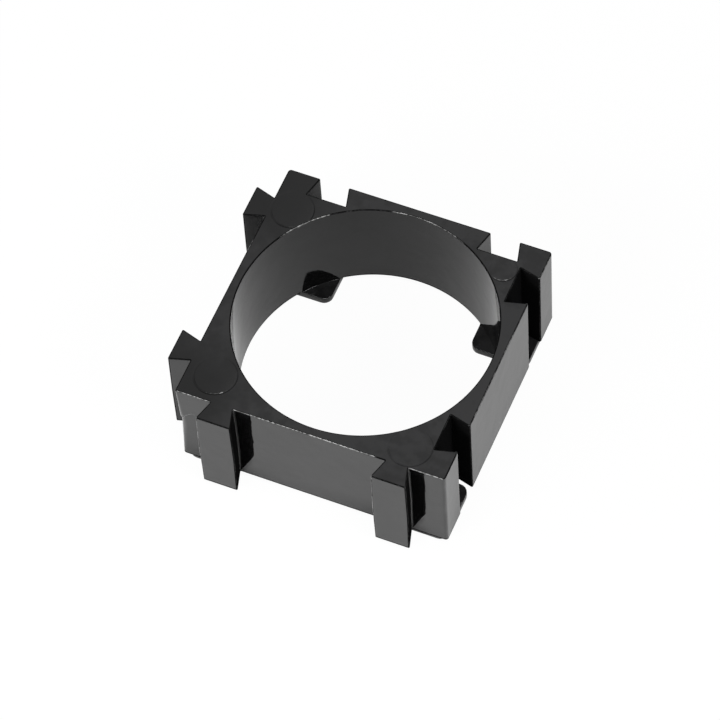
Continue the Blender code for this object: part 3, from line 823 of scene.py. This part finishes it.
# The table, white and matt. Its shadow stays, but is lighter to the camera than it is in the gloss. It
# lies a hair below the pads, so that their undersides don't share its plane.
FLOOR_REACH = 1.0
FLOOR_GAP = 0.01 * MM
FLOOR_WHITE = (0.8, 0.8, 0.8, 1)
FLOOR_GLOW_TO_CAMERA = 0.96
floor_corners = np.array(((-1, -1), (1, -1), (1, 1), (-1, 1))) * FLOOR_REACH
floor_mesh = bpy.data.meshes.new("floor")
floor_mesh.from_pydata([(x, y, -FLOOR_GAP) for x, y in floor_corners.tolist()], [], [(0, 1, 2, 3)])
floor = bpy.data.objects.new("floor", floor_mesh)
bpy.context.scene.collection.objects.link(floor)
floor_white = bpy.data.materials.new("floor_white")
floor_white.use_nodes = True
tree = floor_white.node_tree
paint = tree.nodes["Principled BSDF"]
paint.inputs["Base Color"].default_value = FLOOR_WHITE
paint.inputs["Roughness"].default_value = 1
paint.inputs["Specular IOR Level"].default_value = 0
to_camera = add_node(tree, "LightPath", {}).outputs["Is Camera Ray"]
glow = add_node(tree, "Emission", {"Strength": 1.0})
glow_share = reckon(tree, "MULTIPLY", to_camera, FLOOR_GLOW_TO_CAMERA)
both = add_node(tree, "MixShader", {0: glow_share, 1: paint.outputs[0], 2: glow.outputs[0]})
tree.links.new(both.outputs[0], tree.nodes["Material Output"].inputs[0])
floor_mesh.materials.append(floor_white)

# The studio round the table: white to the camera, and otherwise nearly dark at its sides, with a broad
# soft glow overhead towards the back. The gloss of the bracket shows that glow.
GLOW_AIM = (0, 0.35, 0.8)
GLOW_SPAN = (0.5, 1.0)
GLOW_STRENGTHS = (0.02, 0.69)
world = bpy.data.worlds.new("studio")
bpy.context.scene.world = world
world.use_nodes = True
tree = world.node_tree
direction = add_node(tree, "TexCoord", {}).outputs["Generated"]
overhead = add_node(tree, "VectorMath", {0: direction, 1: GLOW_AIM}, operation="DOT_PRODUCT").outputs
glow = spread(tree, overhead["Value"], GLOW_SPAN, GLOW_STRENGTHS)
to_camera = add_node(tree, "LightPath", {}).outputs["Is Camera Ray"]
sky = tree.nodes["Background"]
sky.inputs["Color"].default_value = (1, 1, 1, 1)
tree.links.new(reckon(tree, "MAXIMUM", glow, to_camera), sky.inputs["Strength"])


# Four softboxes look at the bracket's middle: left and front light the tongue sides, right the groove
# side, and the one above the top. Angles are in degrees, sizes in metres and powers in watts.
def softbox(name, azimuth, elevation, distance, size, power):
    """A rectangular soft light on a sphere round the bracket, turned towards its middle."""
    azimuth, elevation = math.radians(azimuth), math.radians(elevation)
    light = bpy.data.lights.new(name, "AREA")
    light.shape = "RECTANGLE"
    light.size, light.size_y = size
    light.energy = power
    lamp = bpy.data.objects.new(name, light)
    bpy.context.scene.collection.objects.link(lamp)
    direction = Vector((math.cos(elevation) * math.cos(azimuth), math.cos(elevation) * math.sin(azimuth),
                        math.sin(elevation)))
    lamp.location = direction * distance
    lamp.rotation_euler = direction.to_track_quat("Z", "Y").to_euler()


softbox("softbox_left", azimuth=-150, elevation=20, distance=0.3, size=(0.1, 0.075), power=0.375)
softbox("softbox_front", azimuth=-112, elevation=29, distance=0.5, size=(0.25, 0.125), power=1.95)
softbox("softbox_right", azimuth=-16, elevation=32, distance=0.6, size=(0.25, 0.2), power=2.3)
softbox("softbox_above", azimuth=-60, elevation=75, distance=0.6, size=(0.2, 0.2), power=1.4)

# The camera looks down from the front right, as in the photograph, a little tilted. Its place and lens
# were solved from the bracket's own outline.
AZIMUTH = math.radians(26.369)
ELEVATION = math.radians(56.807)
ROLL = math.radians(-4.4)
DISTANCE = 0.551456
TARGET = Vector((0.001215, -0.000587, 0.009))
SENSOR_WIDTH = 36.0
FOCAL_LENGTH = 225.97
back = Vector((math.sin(AZIMUTH) * math.cos(ELEVATION), -math.cos(AZIMUTH) * math.cos(ELEVATION),
               math.sin(ELEVATION)))
level_right = Vector((math.cos(AZIMUTH), math.sin(AZIMUTH), 0))
level_up = back.cross(level_right)
right = math.cos(ROLL) * level_right + math.sin(ROLL) * level_up
up = -math.sin(ROLL) * level_right + math.cos(ROLL) * level_up
stand = TARGET + back * DISTANCE
lens = bpy.data.cameras.new("camera")
lens.lens = FOCAL_LENGTH
lens.sensor_width = SENSOR_WIDTH
camera = bpy.data.objects.new("camera", lens)
bpy.context.scene.collection.objects.link(camera)
camera.matrix_world = Matrix((
    (right.x, up.x, back.x, stand.x),
    (right.y, up.y, back.y, stand.y),
    (right.z, up.z, back.z, stand.z),
    (0, 0, 0, 1)))
bpy.context.scene.camera = camera

bpy.context.scene.view_settings.view_transform = "Standard"
